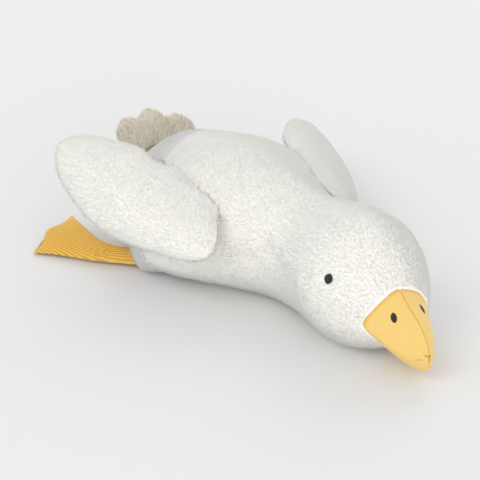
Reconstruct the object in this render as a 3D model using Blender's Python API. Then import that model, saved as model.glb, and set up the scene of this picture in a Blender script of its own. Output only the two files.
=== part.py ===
"""A plush seagull pillow that lies on its belly: white pile head and back, light grey rump,
three-lobed taupe tail, two leaf-shaped wings, corduroy legs with webbed feet, and a felt beak.

Metres, +Z up. The bird faces -Y, and its own right side is at -X. The origin is on the
surface that the pillow rests on, under the widest part of the belly.
"""

import math

import bmesh
import bpy
from mathutils import Matrix, Vector

# Gap between two pieces that are sewn together, and between the floor and what hangs just over it
SEAM_GAP = 0.0003
FLOOR_CLEARANCE = 0.0010

# Torso: head, neck and body are one stuffed bag. Widths are full sizes.
HEAD_WIDTH = 0.166
HEAD_HEIGHT = 0.156
HEAD_LENGTH = 0.175
HEAD_SWING = 0.020
NECK_WIDTH = 0.136
NECK_HEIGHT = 0.143
NECK_LENGTH = 0.170
BODY_WIDTH = 0.306
BODY_HEIGHT = 0.161
BODY_LENGTH = 0.335
BELLY_FLAT = 0.010
DOME_PINCH = 1.35
# How the underside meets the sides, at four places along the bag: 1 is a plain oval, and the hips,
# where the legs are sewn in, are nearly upright walls
UNDERSIDE_SQUARE = (1.0, 0.13, 0.13, 0.8)
UNDERSIDE_Y = (0.020, 0.060, 0.095, 0.170)
# How high the bag is at its broadest, as a share of its height, at the face, the crown and the breast
CHIN_EDGE = 0.27
HEAD_EDGE = 0.42
BODY_EDGE = 0.24
# How far the first row of a skin lies from its end, as a share of a step
TORSO_END_SHARE = 0.4
WING_END_SHARE = 0.45
LOBE_END_SHARE = 0.85
BEAK_END_SHARE = 0.8
# Share of the head's or body's length over which each end rounds off, seen from above and from the side
FACE_ROUND = 0.60
FACE_ROUND_UP = 0.55
RUMP_ROUND = 0.85
RUMP_ROUND_UP = 0.60
# Where the stations along the bag lie, from the face to the tail root
FACE_Y = -0.292
CROWN_Y = FACE_Y + 0.5 * HEAD_LENGTH
NAPE_Y = FACE_Y + HEAD_LENGTH
BREAST_Y = NAPE_Y + NECK_LENGTH
RUMP_Y = NAPE_Y + BODY_LENGTH

# Slanting seam where the white pile of the back ends and the grey pile of the rump begins
RUMP_SEAM_BACK = 0.012
RUMP_SEAM_SLOPE = 35.0

# Wings: one leaf-shaped cushion each, sewn on at the shoulder. Angles in degrees.
WING_LENGTH = 0.290
WING_HALF_WIDTH = 0.058
WING_THICKNESS = 0.040
WING_CUP = 0.012
# Inner and outer half widths at three places along the wing, and the share over which each end rounds off
WING_STATIONS = (0.15, 0.50, 0.82)
WING_INNER = (0.063, 0.070, 0.059)
WING_OUTER = (0.060, 0.065, 0.057)
WING_INNER_ROOT_ROUND = 0.25
WING_OUTER_ROOT_ROUND = 0.87
WING_TIP_ROUND = 0.44
# Share of its thickness that the inner edge loses at the root, where it is sewn flat to the back
WING_FEATHER = 0.55
RIGHT_SHOULDER = (-0.112, -0.079, 0.0865)
RIGHT_WING_SPREAD = 8.7
RIGHT_WING_RISE = 10.3
RIGHT_WING_ROLL = 39.4
LEFT_SHOULDER = (0.095, -0.090, 0.0874)
LEFT_WING_SPREAD = 28.0
LEFT_WING_RISE = -4.6
LEFT_WING_ROLL = 48.7

# Tail: three plump lobes fanned out and tipped up behind the rump
TAIL_LOBE_LENGTH = 0.094
TAIL_LOBE_WIDTH = 0.054
TAIL_MIDDLE_LENGTH = 0.098
TAIL_MIDDLE_WIDTH = 0.048
TAIL_LOBE_THICKNESS = 0.036
TAIL_LOBE_ROOT = 0.60
TAIL_TIP_ROUND = 0.30
TAIL_FAN = 15.0
TAIL_LOBE_APART = 0.021
TAIL_RISE = 34.0
TAIL_ROOT = (0.011, 0.060)
TAIL_SEAT = 0.036
TAIL_LEAN = 12.0

# Legs and webbed feet, cut from corduroy whose wales run from hip to toe
LEG_WIDTH = 0.026
LEG_LENGTH = 0.022
LEG_THICKNESS = 0.017
FOOT_WIDTH = 0.083
FOOT_LENGTH = 0.109
WEB_DEPTH = 0.004
MIDDLE_TOE = 0.009
FOOT_FLARE = 1.6
TOE_ROUND = 0.22
TOE_THICKNESS = 0.0055
WALE_PITCH = 0.0033
WALE_DEPTH = 0.0010
HIP_X = 0.118
HIP_Y = 0.082
HIP_DEPTH = 0.020
ANKLE_BEND = 22.0
LEG_SPREAD = 40.0
LEG_DROOP = 1.6
RIGHT_FOOT_ROLL = 15.0
LEFT_FOOT_ROLL = 0.0

# Beak: a stuffed felt wedge with a ridge seam along its top
BEAK_WIDTH = 0.1045
BEAK_HEIGHT = 0.1141
BEAK_LENGTH = 0.0925
BEAK_BOW = -0.0118
BEAK_TIP_WIDTH = 0.0286
BEAK_TIP_HEIGHT = 0.0653
BEAK_INSET = 0.0359
BEAK_X = 0.0141
BEAK_LIFT = 0.001
BEAK_TURN = -8.6
BEAK_CHIN_RISE = 0.019
BEAK_BROADEST = 0.44
BEAK_TIP_ROUND = 0.386
BEAK_TOP_SQUARENESS = 1.98
BEAK_CHIN_SQUARENESS = 1.48
BEAK_FALL = 0.733

# Embroidery: satin-stitched ovals
EYE_WIDTH = 0.0120
EYE_HEIGHT = 0.0130
EYE_BACK = 0.070
EYE_ANGLE = 24.3
NOSTRIL_WIDTH = 0.0075
NOSTRIL_HEIGHT = 0.0125
NOSTRIL_ALONG = 0.475
NOSTRIL_ANGLE = 54.5
STITCH_RAISE = 0.0012
STITCH_DEPTH = 4 * STITCH_RAISE
NORMAL_STEP = 0.004
UP = Vector((0, 0, 1))


def clear_scene():
    for thing in list(bpy.data.objects):
        bpy.data.objects.remove(thing)


def collection(name):
    made = bpy.data.collections.new(name)
    bpy.context.scene.collection.children.link(made)
    return made


def material(name, colour, roughness):
    made = bpy.data.materials.new(name)
    made.use_nodes = True
    shader = made.node_tree.nodes["Principled BSDF"]
    shader.inputs["Base Color"].default_value = (*colour, 1.0)
    shader.inputs["Roughness"].default_value = roughness
    return made


def new_object(name, mesh, where, colour=None):
    made = bpy.data.objects.new(name, mesh)
    where.objects.link(made)
    if colour:
        mesh.materials.append(colour)
    return made


def mesh_from(bm, name):
    mesh = bpy.data.meshes.new(name)
    bm.to_mesh(mesh)
    bm.free()
    mesh.shade_smooth()
    return mesh


def eased(stations, at):
    """A value between named stations [(place, value), ...], eased so that it never overshoots."""
    if at <= stations[0][0]:
        return stations[0][1]
    for (a, low), (b, high) in zip(stations, stations[1:]):
        if at <= b:
            t = (at - a) / (b - a)
            return low + (high - low) * t * t * (3 - 2 * t)
    return stations[-1][1]


def round_off(t, reach):
    """Rises from 0 to 1 as a quarter of an ellipse while t goes from 0 to reach."""
    return math.sqrt(max(0.0, 1 - (1 - min(1.0, t / reach)) ** 2))


def row_place(i, rows, end_share):
    """Where row i of a skin lies from 0 to 1, with the rows closer together towards both ends."""
    return 0.5 - 0.5 * math.cos(math.pi * (i + end_share) / (rows - 1 + 2 * end_share))


def loft(name, rings):
    """A closed skin through rings of equal length, with a fan over each end, all in triangles:
    a bent four-sided face would split one way in the skin and another way in its cutter."""
    bm = bmesh.new()
    rows = [[bm.verts.new(point) for point in ring] for ring in rings]
    count = len(rings[0])
    for near, far in zip(rows, rows[1:]):
        for i in range(count):
            j = (i + 1) % count
            bm.faces.new((near[i], near[j], far[j], far[i]))
    for row in (rows[0], rows[-1]):
        middle = bm.verts.new(sum((v.co for v in row), Vector()) / count)
        for i in range(count):
            bm.faces.new((row[i], row[(i + 1) % count], middle))
    bmesh.ops.recalc_face_normals(bm, faces=bm.faces)
    bmesh.ops.triangulate(bm, faces=bm.faces)
    return mesh_from(bm, name)


def torso_point(y, angle):
    """A point on the torso's skin: angle 0 is its left edge, 90 its top, 180 its right edge."""
    half = eased([(CROWN_Y, HEAD_WIDTH / 2), (NAPE_Y, NECK_WIDTH / 2), (BREAST_Y, BODY_WIDTH / 2)], y)
    height = eased([(CROWN_Y, HEAD_HEIGHT), (NAPE_Y, NECK_HEIGHT), (BREAST_Y, BODY_HEIGHT)], y)
    share = eased([(FACE_Y, CHIN_EDGE), (CROWN_Y, HEAD_EDGE), (BREAST_Y, BODY_EDGE)], y)
    edge = share * height
    from_face = y - FACE_Y
    from_rump = RUMP_Y - y
    across = round_off(from_face, FACE_ROUND * HEAD_LENGTH)
    across *= round_off(from_rump, RUMP_ROUND * BODY_LENGTH)
    up = round_off(from_face, FACE_ROUND_UP * HEAD_LENGTH)
    up *= round_off(from_rump, RUMP_ROUND_UP * BODY_LENGTH)
    c = math.cos(angle)
    middle = eased([(CROWN_Y, HEAD_SWING), (BREAST_Y, 0.0)], y)
    x = middle + half * across * c
    if math.sin(angle) >= 0:
        x = middle + half * across * math.copysign(abs(c) ** DOME_PINCH, c)
        z = edge + (height - edge) * up * math.sin(angle)
    else:
        square = eased(list(zip(UNDERSIDE_Y, UNDERSIDE_SQUARE)), y)
        x = middle + half * across * math.copysign(abs(c) ** square, c)
        z = edge + (edge + BELLY_FLAT) * up * math.sin(angle)
    return Vector((x, y, z))


def build_torso(where):
    """The whole stuffed bag, flattened where it rests on the floor."""
    rows = 44
    sides = 40
    rings = []
    for i in range(rows):
        t = row_place(i, rows, TORSO_END_SHARE)
        y = FACE_Y + t * (RUMP_Y - FACE_Y)
        rings.append([torso_point(y, 2 * math.pi * k / sides) for k in range(sides)])
    torso = new_object("torso", loft("torso", rings), where)
    cut_by_plane(torso.data, Vector((0, 0, 0)), Vector((0, 0, -1)))
    return torso


def cut_by_plane(mesh, point, away):
    """Cut off the side of the mesh that 'away' points to, and close the cut with one flat face."""
    bm = bmesh.new()
    bm.from_mesh(mesh)
    everything = bm.verts[:] + bm.edges[:] + bm.faces[:]
    cut = bmesh.ops.bisect_plane(bm, geom=everything, plane_co=point, plane_no=away, clear_outer=True)
    rim = [e for e in cut["geom_cut"] if isinstance(e, bmesh.types.BMEdge)]
    bmesh.ops.edgenet_fill(bm, edges=rim)
    bmesh.ops.recalc_face_normals(bm, faces=bm.faces)
    bm.to_mesh(mesh)
    bm.free()


def split_torso(torso, where, white, grey):
    """Front and rear of the torso, on either side of the slanting rump seam."""
    slope = math.radians(RUMP_SEAM_SLOPE)
    back = Vector((0, math.cos(slope), -math.sin(slope)))
    seam = Vector((0, RUMP_SEAM_BACK, 0))
    pieces = []
    for name, away, colour in (("body", back, white), ("rump", -back, grey)):
        mesh = torso.data.copy()
        cut_by_plane(mesh, seam - away * SEAM_GAP / 2, away)
        pieces.append(new_object(name, mesh, where, colour))
    return pieces


def swollen(source, where):
    """A cutter that is the source as it lies, grown by the seam gap."""
    bpy.context.view_layer.update()
    graph = bpy.context.evaluated_depsgraph_get()
    mesh = bpy.data.meshes.new_from_object(source.evaluated_get(graph))
    mesh.transform(source.matrix_world)
    mesh.materials.clear()
    made = new_object(source.name + " with its gap", mesh, where)
    grow = made.modifiers.new("grow", "DISPLACE")
    grow.strength = SEAM_GAP
    grow.mid_level = 0.0
    made.hide_render = True
    made.display_type = "WIRE"
    return made


def cut_to_fit(piece, cutter):
    step = piece.modifiers.new("seat", "BOOLEAN")
    step.operation = "DIFFERENCE"
    step.object = cutter
    step.solver = "EXACT"


def wing_half_width(t, widths, root_round):
    """Half the width of a wing on one side of its middle line, at t from 0 at the root to 1 at the tip."""
    half = eased(list(zip(WING_STATIONS, widths)), t)
    return half * round_off(t, root_round) * round_off(1 - t, WING_TIP_ROUND)


def build_wing(name, side, shoulder, spread, rise, roll, where, colour):
    rows = 22
    sides = 24
    rings = []
    for i in range(rows):
        t = row_place(i, rows, WING_END_SHARE)
        inner = wing_half_width(t, WING_INNER, WING_INNER_ROOT_ROUND)
        outer = wing_half_width(t, WING_OUTER, WING_OUTER_ROOT_ROUND)
        stuffed = WING_THICKNESS / 2 * math.sqrt((inner + outer) / (2 * WING_HALF_WIDTH))
        ring = []
        for k in range(sides):
            angle = 2 * math.pi * k / sides
            inward = -side * math.cos(angle)
            x = (inner if inward > 0 else outer) * math.cos(angle)
            thick = stuffed * (1 - WING_FEATHER * (1 - t) * (0.5 + 0.5 * inward))
            cup = WING_CUP * (x / WING_HALF_WIDTH) ** 2
            ring.append(Vector((x, t * WING_LENGTH, thick * math.sin(angle) - cup)))
        rings.append(ring)
    wing = new_object(name, loft(name, rings), where, colour)
    wing.location = shoulder
    wing.rotation_mode = "YXZ"
    wing.rotation_euler = (math.radians(rise), side * math.radians(roll), -side * math.radians(spread))
    return wing


def tail_lobe(name, shift, length, width):
    """One lobe's skin: narrow at its root, broadest past its middle, blunt and plump at its tip."""
    rows = 10
    sides = 18
    rings = []
    for i in range(rows):
        t = i / (rows - LOBE_END_SHARE)
        plump = round_off(1 - t, TAIL_TIP_ROUND)
        half = width / 2 * (TAIL_LOBE_ROOT + (1 - TAIL_LOBE_ROOT) * math.sin(math.pi / 2 * t)) * plump
        thick = TAIL_LOBE_THICKNESS / 2 * plump
        ring = []
        for k in range(sides):
            angle = 2 * math.pi * k / sides
            ring.append(Vector((shift + half * math.cos(angle), t * length, thick * math.sin(angle))))
        rings.append(ring)
    return loft(name, rings)


def build_tail(where, cutters, colour):
    """Three plump lobes that run into each other, as one stuffed piece."""
    tail = new_object("tail", tail_lobe("tail", 0, TAIL_MIDDLE_LENGTH, TAIL_MIDDLE_WIDTH), where, colour)
    tail.location = (TAIL_ROOT[0], RUMP_Y - TAIL_SEAT, TAIL_ROOT[1])
    tail.rotation_mode = "ZXY"
    tail.rotation_euler = (math.radians(TAIL_RISE), math.radians(TAIL_LEAN), 0)
    for side in (-1, 1):
        mesh = tail_lobe("side lobe", side * TAIL_LOBE_APART, TAIL_LOBE_LENGTH, TAIL_LOBE_WIDTH)
        lobe = new_object("side lobe", mesh, cutters)
        lobe.location = tail.location
        lobe.rotation_mode = "ZXY"
        fan = -side * math.radians(TAIL_FAN)
        lobe.rotation_euler = (math.radians(TAIL_RISE), math.radians(TAIL_LEAN), fan)
        lobe.hide_render = True
        lobe.display_type = "WIRE"
        join = tail.modifiers.new("join", "BOOLEAN")
        join.operation = "UNION"
        join.object = lobe
        join.solver = "EXACT"
    return tail


def past_ankle(y):
    """How far y is along the foot: 0 at the ankle and on the leg, 1 at the toes."""
    return max(0.0, (y - HIP_DEPTH - LEG_LENGTH) / FOOT_LENGTH)


def build_leg(name, side, roll, where, colour):
    """Two sheets of ribbed cloth that meet all round their edge, open wide at the toes."""
    rows = 15
    whole = HIP_DEPTH + LEG_LENGTH + FOOT_LENGTH
    reach = math.ceil(FOOT_WIDTH / WALE_PITCH)
    bm = bmesh.new()
    sheets = {1: [], -1: []}
    middle = Vector((0, 0, 0))
    for i in range(rows):
        t = i / (rows - 1)
        past = past_ankle(t * whole)
        half = LEG_WIDTH / 2 + (FOOT_WIDTH - LEG_WIDTH) / 2 * past ** FOOT_FLARE
        stuffed = (LEG_THICKNESS - TOE_THICKNESS) * (1 - t / 3) * round_off(1 - t, TOE_ROUND)
        puff = (TOE_THICKNESS + stuffed) / 2
        bend = side * math.radians(ANKLE_BEND) * min(1.0, 2 * past)
        along = Vector((-math.sin(bend), math.cos(bend), 0))
        across = Vector((math.cos(bend), math.sin(bend), 0))
        for face, sheet in sheets.items():
            row = []
            for k in range(-reach, reach + 1):
                x = max(-half, min(half, k * WALE_PITCH / 2))
                swell = puff * math.sqrt(max(0.0, 1 - (x / half) ** 2))
                rib = min(WALE_DEPTH / 2, swell / 3) * math.cos(2 * math.pi * x / WALE_PITCH)
                web = WEB_DEPTH * math.sin(2 * math.pi * x / FOOT_WIDTH) ** 2
                toe = MIDDLE_TOE * math.cos(math.pi * x / FOOT_WIDTH) ** 2
                height = Vector((0, 0, puff + face * (swell + rib)))
                row.append(bm.verts.new(middle + x * across + (toe - web) * past ** 2 * along + height))
            sheet.append(row)
        middle = middle + along * whole / (rows - 1)
    for k in range(2 * reach):
        for near, far in zip(sheets[1], sheets[1][1:]):
            bm.faces.new((near[k], near[k + 1], far[k + 1], far[k]))
        for near, far in zip(sheets[-1], sheets[-1][1:]):
            bm.faces.new((near[k], far[k], far[k + 1], near[k + 1]))
        bm.faces.new((sheets[1][0][k + 1], sheets[1][0][k], sheets[-1][0][k], sheets[-1][0][k + 1]))
        bm.faces.new((sheets[1][-1][k], sheets[1][-1][k + 1], sheets[-1][-1][k + 1], sheets[-1][-1][k]))
    bmesh.ops.remove_doubles(bm, verts=bm.verts, dist=0.00002)
    leg = new_object(name, mesh_from(bm, name), where, colour)
    out = math.radians(LEG_SPREAD)
    leg.location = (side * (HIP_X - HIP_DEPTH * math.sin(out)), HIP_Y - HIP_DEPTH * math.cos(out), 0)
    leg.rotation_mode = "YXZ"
    leg.rotation_euler = (-math.radians(LEG_DROOP), side * math.radians(roll), -side * out)
    rest_on_floor(leg)
    return leg


def rest_on_floor(piece):
    """Lower or raise a piece until its lowest point is just clear of the floor."""
    bpy.context.view_layer.update()
    lowest = min((piece.matrix_world @ v.co).z for v in piece.data.vertices)
    piece.location.z += FLOOR_CLEARANCE - lowest


def beak_point(t, angle):
    """A point on the beak before it is placed: t is 0 at its root and 1 at its tip."""
    rounding = round_off(1 - t, BEAK_TIP_ROUND)
    half = (BEAK_WIDTH + (BEAK_TIP_WIDTH - BEAK_WIDTH) * t) / 2 * rounding
    ridge = BEAK_HEIGHT + (BEAK_TIP_HEIGHT - BEAK_HEIGHT) * t + 4 * BEAK_BOW * t * (1 - t)
    bottom = BEAK_CHIN_RISE * (1 - t)
    middle = bottom + BEAK_BROADEST * (ridge - bottom)
    c = abs(math.cos(angle))
    if math.sin(angle) >= 0:
        z = middle + (ridge - middle) * rounding * (1 - c ** BEAK_TOP_SQUARENESS) ** BEAK_FALL
    else:
        z = middle - (middle - bottom) * rounding * (1 - c ** BEAK_CHIN_SQUARENESS) ** BEAK_FALL
    return Vector((half * math.cos(angle), -t * BEAK_LENGTH, z))


def build_beak(where, colour):
    rows = 16
    sides = 32
    rings = []
    for i in range(rows):
        t = i / (rows - BEAK_END_SHARE)
        rings.append([beak_point(t, 2 * math.pi * k / sides) for k in range(sides)])
    beak = new_object("beak", loft("beak", rings), where, colour)
    beak.location = (BEAK_X, FACE_Y + BEAK_INSET, BEAK_LIFT)
    beak.rotation_euler = (0, 0, math.radians(BEAK_TURN))
    bpy.context.view_layer.update()
    return beak


def skin_frame(point_at, u, angle):
    """A point of a skin and the outward normal there, for a skin given as a function of two values."""
    here = point_at(u, angle)
    along = point_at(u + NORMAL_STEP, angle) - point_at(u - NORMAL_STEP, angle)
    around = point_at(u, angle + NORMAL_STEP) - point_at(u, angle - NORMAL_STEP)
    normal = along.cross(around).normalized()
    return here, normal


def build_stitching(name, size, at, normal, up, where, colour):
    """A raised oval of satin stitch, half sunk in the skin so that it can be cut to lie on it."""
    bm = bmesh.new()
    bmesh.ops.create_uvsphere(bm, u_segments=14, v_segments=8, radius=0.5)
    bmesh.ops.scale(bm, verts=bm.verts, vec=(size[0], size[1], STITCH_DEPTH))
    oval = new_object(name, mesh_from(bm, name), where, colour)
    side = up.cross(normal).normalized()
    turn = Matrix((side, normal.cross(side), normal)).transposed()
    oval.matrix_world = Matrix.Translation(at - normal * STITCH_RAISE) @ turn.to_4x4()
    return oval


def main():
    clear_scene()
    parts = collection("plush seagull pillow")
    cutters = collection("cutters")
    white = material("white pile", (0.93, 0.92, 0.89), 1.0)
    grey = material("light grey pile", (0.74, 0.74, 0.73), 1.0)
    taupe = material("taupe pile", (0.50, 0.47, 0.40), 1.0)
    mustard = material("mustard corduroy", (0.80, 0.50, 0.12), 0.9)
    felt = material("yellow felt", (0.88, 0.60, 0.18), 0.9)
    black = material("black satin stitch", (0.02, 0.02, 0.02), 0.5)

    torso = build_torso(cutters)
    torso.hide_render = True
    torso.display_type = "WIRE"
    split_torso(torso, parts, white, grey)
    torso_cutter = swollen(torso, cutters)

    right_wing = build_wing(
        "wing_right", -1, RIGHT_SHOULDER, RIGHT_WING_SPREAD, RIGHT_WING_RISE, RIGHT_WING_ROLL, parts, white
    )
    left_wing = build_wing(
        "wing_left", 1, LEFT_SHOULDER, LEFT_WING_SPREAD, LEFT_WING_RISE, LEFT_WING_ROLL, parts, white
    )
    right_leg = build_leg("leg_right", -1, RIGHT_FOOT_ROLL, parts, mustard)
    left_leg = build_leg("leg_left", 1, LEFT_FOOT_ROLL, parts, mustard)
    beak = build_beak(parts, felt)
    tail = build_tail(parts, cutters, taupe)
    for piece in (right_wing, left_wing, right_leg, left_leg, beak, tail):
        cut_to_fit(piece, torso_cutter)

    for side, name in ((-1, "right"), (1, "left")):
        angle = math.radians(90 - side * (90 - EYE_ANGLE))
        at, normal = skin_frame(torso_point, FACE_Y + EYE_BACK, angle)
        size = (EYE_WIDTH, EYE_HEIGHT)
        eye = build_stitching("eye_" + name, size, at, normal, UP, parts, black)
        cut_to_fit(eye, torso_cutter)
    beak_cutter = swollen(beak, cutters)
    for side, name in ((-1, "right"), (1, "left")):
        angle = math.radians(90 - side * (90 - NOSTRIL_ANGLE))
        at, normal = skin_frame(beak_point, NOSTRIL_ALONG, angle)
        at = beak.matrix_world @ at
        normal = beak.matrix_world.to_3x3() @ -normal
        size = (NOSTRIL_WIDTH, NOSTRIL_HEIGHT)
        nostril = build_stitching("nostril_" + name, size, at, normal, UP, parts, black)
        cut_to_fit(nostril, beak_cutter)


main()
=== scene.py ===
import math

import bmesh
import bpy
import numpy as np
from mathutils import Matrix, Vector, noise
from mathutils.bvhtree import BVHTree


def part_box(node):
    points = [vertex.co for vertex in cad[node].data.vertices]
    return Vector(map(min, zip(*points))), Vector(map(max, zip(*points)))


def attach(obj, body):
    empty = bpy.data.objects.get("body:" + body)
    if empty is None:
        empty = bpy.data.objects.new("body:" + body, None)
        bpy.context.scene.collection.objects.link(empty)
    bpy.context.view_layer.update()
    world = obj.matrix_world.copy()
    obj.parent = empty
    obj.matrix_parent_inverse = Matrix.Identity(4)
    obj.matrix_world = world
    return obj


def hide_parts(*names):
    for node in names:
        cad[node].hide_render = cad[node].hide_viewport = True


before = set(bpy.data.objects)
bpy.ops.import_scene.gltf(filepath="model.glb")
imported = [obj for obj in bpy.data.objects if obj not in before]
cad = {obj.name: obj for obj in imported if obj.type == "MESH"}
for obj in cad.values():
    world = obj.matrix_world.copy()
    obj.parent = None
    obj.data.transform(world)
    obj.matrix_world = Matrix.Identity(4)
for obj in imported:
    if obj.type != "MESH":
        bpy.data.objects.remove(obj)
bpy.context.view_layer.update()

# The bag: head, neck and body are one closed bag of short pile cloth, stuffed with loose fibre.
# A slanting seam over the back joins the white front panels to the light grey rump panel.
# The weight of the bag presses its belly flat on the floor.
BAG_VOXEL = 0.005
BAG_SHRINK = 0.0030
BAG_SETTLE = 0.0035
BAG_PRESSURE = 4.0
BAG_SWELLS = ((0.0022, 0.055, 3.0), (0.0009, 0.018, 9.0))
FUSE = 0.0006
FILLED = 0.6
CLOTH_SAG = 0.0008
RUMP_SEAM_BACK = 0.012
RUMP_SEAM_SLOPE = math.radians(35.0)
RUMP_SEAM_DEPTH = 0.0022
RUMP_SEAM_WIDTH = 0.0035
BELLY_CLEAR = 0.0006
NECK_SPLIT = -0.100
PILE_ROOT = Vector((0.014, -0.300, 0.060))
PILE_CLEAR = 0.0021
PILE_SUNK = 0.12
# The share of tufts in the darker second fibre, which paints shade among the tufts.
SECOND_SHARE = 0.25
FACE_LIP = 0.0010
FACE_LIP_REACH = 0.012
HEAD_FROM = (-0.150, -0.220)
HEAD_SWELL = 0.0026


def linked(name, mesh):
    made = bpy.data.objects.new(name, mesh)
    bpy.context.scene.collection.objects.link(made)
    return made


def bare_copy(name, *solids):
    """Copies of CAD solids in one mesh, each grown a hair so that solids that touch will fuse."""
    whole = bmesh.new()
    for solid in solids:
        one = bmesh.new()
        one.from_mesh(cad[solid].data)
        bmesh.ops.remove_doubles(one, verts=one.verts, dist=0.00002)
        one.normal_update()
        grown = [v.co + v.normal * FUSE for v in one.verts]
        for v, place in zip(one.verts, grown):
            v.co = place
        mesh = bpy.data.meshes.new(solid)
        one.to_mesh(mesh)
        one.free()
        whole.from_mesh(mesh)
    mesh = bpy.data.meshes.new(name)
    whole.to_mesh(mesh)
    whole.free()
    return linked(name, mesh)


def set_in_mesh(piece):
    """Turns what the piece's modifiers make into its own mesh."""
    bpy.context.view_layer.update()
    graph = bpy.context.evaluated_depsgraph_get()
    shown = piece.evaluated_get(graph)
    mesh = bpy.data.meshes.new_from_object(shown, preserve_all_data_layers=True, depsgraph=graph)
    piece.modifiers.clear()
    piece.data = mesh
    return mesh


def places(mesh):
    out = np.empty(len(mesh.vertices) * 3)
    mesh.vertices.foreach_get("co", out)
    return out.reshape(-1, 3)


def set_places(mesh, at):
    mesh.vertices.foreach_set("co", at.ravel())
    mesh.update()


def leanings(mesh):
    """The normal at each vertex."""
    out = np.empty(len(mesh.vertices) * 3, np.float32)
    mesh.vertices.foreach_get("normal", out)
    return out.reshape(-1, 3).astype(float)


def surface(mesh):
    """A mesh as a surface to measure distances from."""
    return BVHTree.FromPolygons([v.co for v in mesh.vertices], [list(p.vertices) for p in mesh.polygons])


def distances(skin, at):
    return np.array([skin.find_nearest(Vector(p))[3] for p in at])


def remesh_evenly(piece, voxel, smoothing):
    even = piece.modifiers.new("even", "REMESH")
    even.mode = "VOXEL"
    even.voxel_size = voxel
    soften = piece.modifiers.new("soften", "SMOOTH")
    soften.factor = 0.5
    soften.iterations = smoothing
    set_in_mesh(piece)


def shrink(piece, depth):
    at = places(piece.data)
    set_places(piece.data, at - leanings(piece.data) * depth)


def fill_with_fibre(piece, pressure, furthest):
    """Cloth blown up a little from inside, each point moving no further than the cloth would give."""
    before = places(piece.data)
    away = leanings(piece.data)
    cloth = piece.modifiers.new("cloth", "CLOTH")
    cloth.settings.quality = 5
    cloth.settings.mass = 0.3
    cloth.settings.tension_stiffness = 12
    cloth.settings.compression_stiffness = 12
    cloth.settings.shear_stiffness = 5
    cloth.settings.bending_stiffness = 0.4
    cloth.settings.use_pressure = True
    cloth.settings.uniform_pressure_force = pressure
    cloth.settings.effector_weights.gravity = 0
    cloth.collision_settings.use_collision = False
    cloth.point_cache.frame_start = 1
    cloth.point_cache.frame_end = 20
    for step in range(1, 21):
        bpy.context.scene.frame_set(step)
    set_in_mesh(piece)
    bpy.context.scene.frame_set(1)
    swelling = ((places(piece.data) - before) * away).sum(axis=1)
    swelling = np.clip(swelling + FILLED * furthest - swelling.mean(), -CLOTH_SAG, furthest)
    set_places(piece.data, before + away * swelling[:, None])


def undulate(piece, depth, size, seed):
    """The shallow hollows and swellings of loose fibre under cloth."""
    at = places(piece.data)
    away = leanings(piece.data)
    lift = np.array([noise.noise(Vector(p) / size + Vector((seed, 0, 0))) for p in at])
    set_places(piece.data, at + away * (depth * lift)[:, None])


def lay_on_floor(piece):
    at = places(piece.data)
    at[:, 2] = np.maximum(at[:, 2], BELLY_CLEAR)
    set_places(piece.data, at)


def joined_surface(wing, reach):
    """The surface of bag and wing together, with the hollow between them drawn smooth."""
    whole = bmesh.new()
    whole.from_mesh(bag.data)
    whole.from_mesh(wing.data)
    mesh = bpy.data.meshes.new("joined")
    whole.to_mesh(mesh)
    whole.free()
    both = linked("joined", mesh)
    bag_side, wing_side = surface(bag.data), surface(wing.data)
    remesh_evenly(both, WING_VOXEL, 2)
    at = places(both.data)
    slack = np.clip(1.3 * (1 - (distances(bag_side, at) + distances(wing_side, at)) / reach), 0, 1)
    slack *= sewn_share(at)
    ends = np.array([e.vertices[:] for e in both.data.edges])
    count = np.maximum(np.bincount(ends.ravel(), minlength=len(at)), 1)[:, None]
    for _ in range(WING_JOIN_ROUNDS):
        total = np.zeros_like(at)
        np.add.at(total, ends[:, 0], at[ends[:, 1]])
        np.add.at(total, ends[:, 1], at[ends[:, 0]])
        at += 0.7 * slack[:, None] * (total / count - at)
    set_places(both.data, at)
    made = surface(both.data)
    bpy.data.objects.remove(both)
    return made


def sewn_share(at):
    """Where a wing is sewn to the back: 1 along its inner and front edge, 0 behind and low down."""
    back = np.clip((WING_JOIN_BACK[0] - at[:, 1]) / (WING_JOIN_BACK[0] - WING_JOIN_BACK[1]), 0, 1)
    low = np.clip((at[:, 2] - WING_JOIN_LOW[0]) / (WING_JOIN_LOW[1] - WING_JOIN_LOW[0]), 0, 1)
    return back * low


def draw_together(wing, reach):
    """Draws the cloth of bag and wing to one smooth surface where the wing is sewn down."""
    joined = joined_surface(wing, reach)
    for piece, other in ((bag, surface(wing.data)), (wing, surface(bag.data))):
        at = places(piece.data)
        away = leanings(piece.data)
        moved = at.copy()
        sewn = sewn_share(at)
        for i in np.flatnonzero((distances(other, at) < reach) & (sewn > 0)):
            p = Vector(at[i])
            spot, outward, _, off = other.find_nearest(p)
            inside = off if (p - spot).dot(outward) < 0 else 0.0
            near = joined.find_nearest(p)
            share = max(0.0, 1 - inside / WING_JOIN_DEPTH) if near[1].dot(Vector(away[i])) > 0 else 0.0
            moved[i] = at[i] + sewn[i] * share * (np.array(near[0]) - at[i])
        set_places(piece.data, moved)


bag = bare_copy("bag", "body", "rump")
remesh_evenly(bag, BAG_VOXEL, 8)
shrink(bag, BAG_SHRINK)
fill_with_fibre(bag, BAG_PRESSURE, BAG_SETTLE)
for swell in BAG_SWELLS:
    undulate(bag, *swell)
at = places(bag.data)
away = leanings(bag.data)
ahead = np.clip((at[:, 1] - HEAD_FROM[0]) / (HEAD_FROM[1] - HEAD_FROM[0]), 0, 1)
ahead = ahead * np.clip(1 - away[:, 2], 0, 1)
set_places(bag.data, at + away * (HEAD_SWELL * ahead)[:, None])
at = places(bag.data)
from_beak = np.clip(1 - distances(surface(cad["beak"].data), at) / FACE_LIP_REACH, 0, 1)
set_places(bag.data, at + leanings(bag.data) * (FACE_LIP * from_beak)[:, None])

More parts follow.
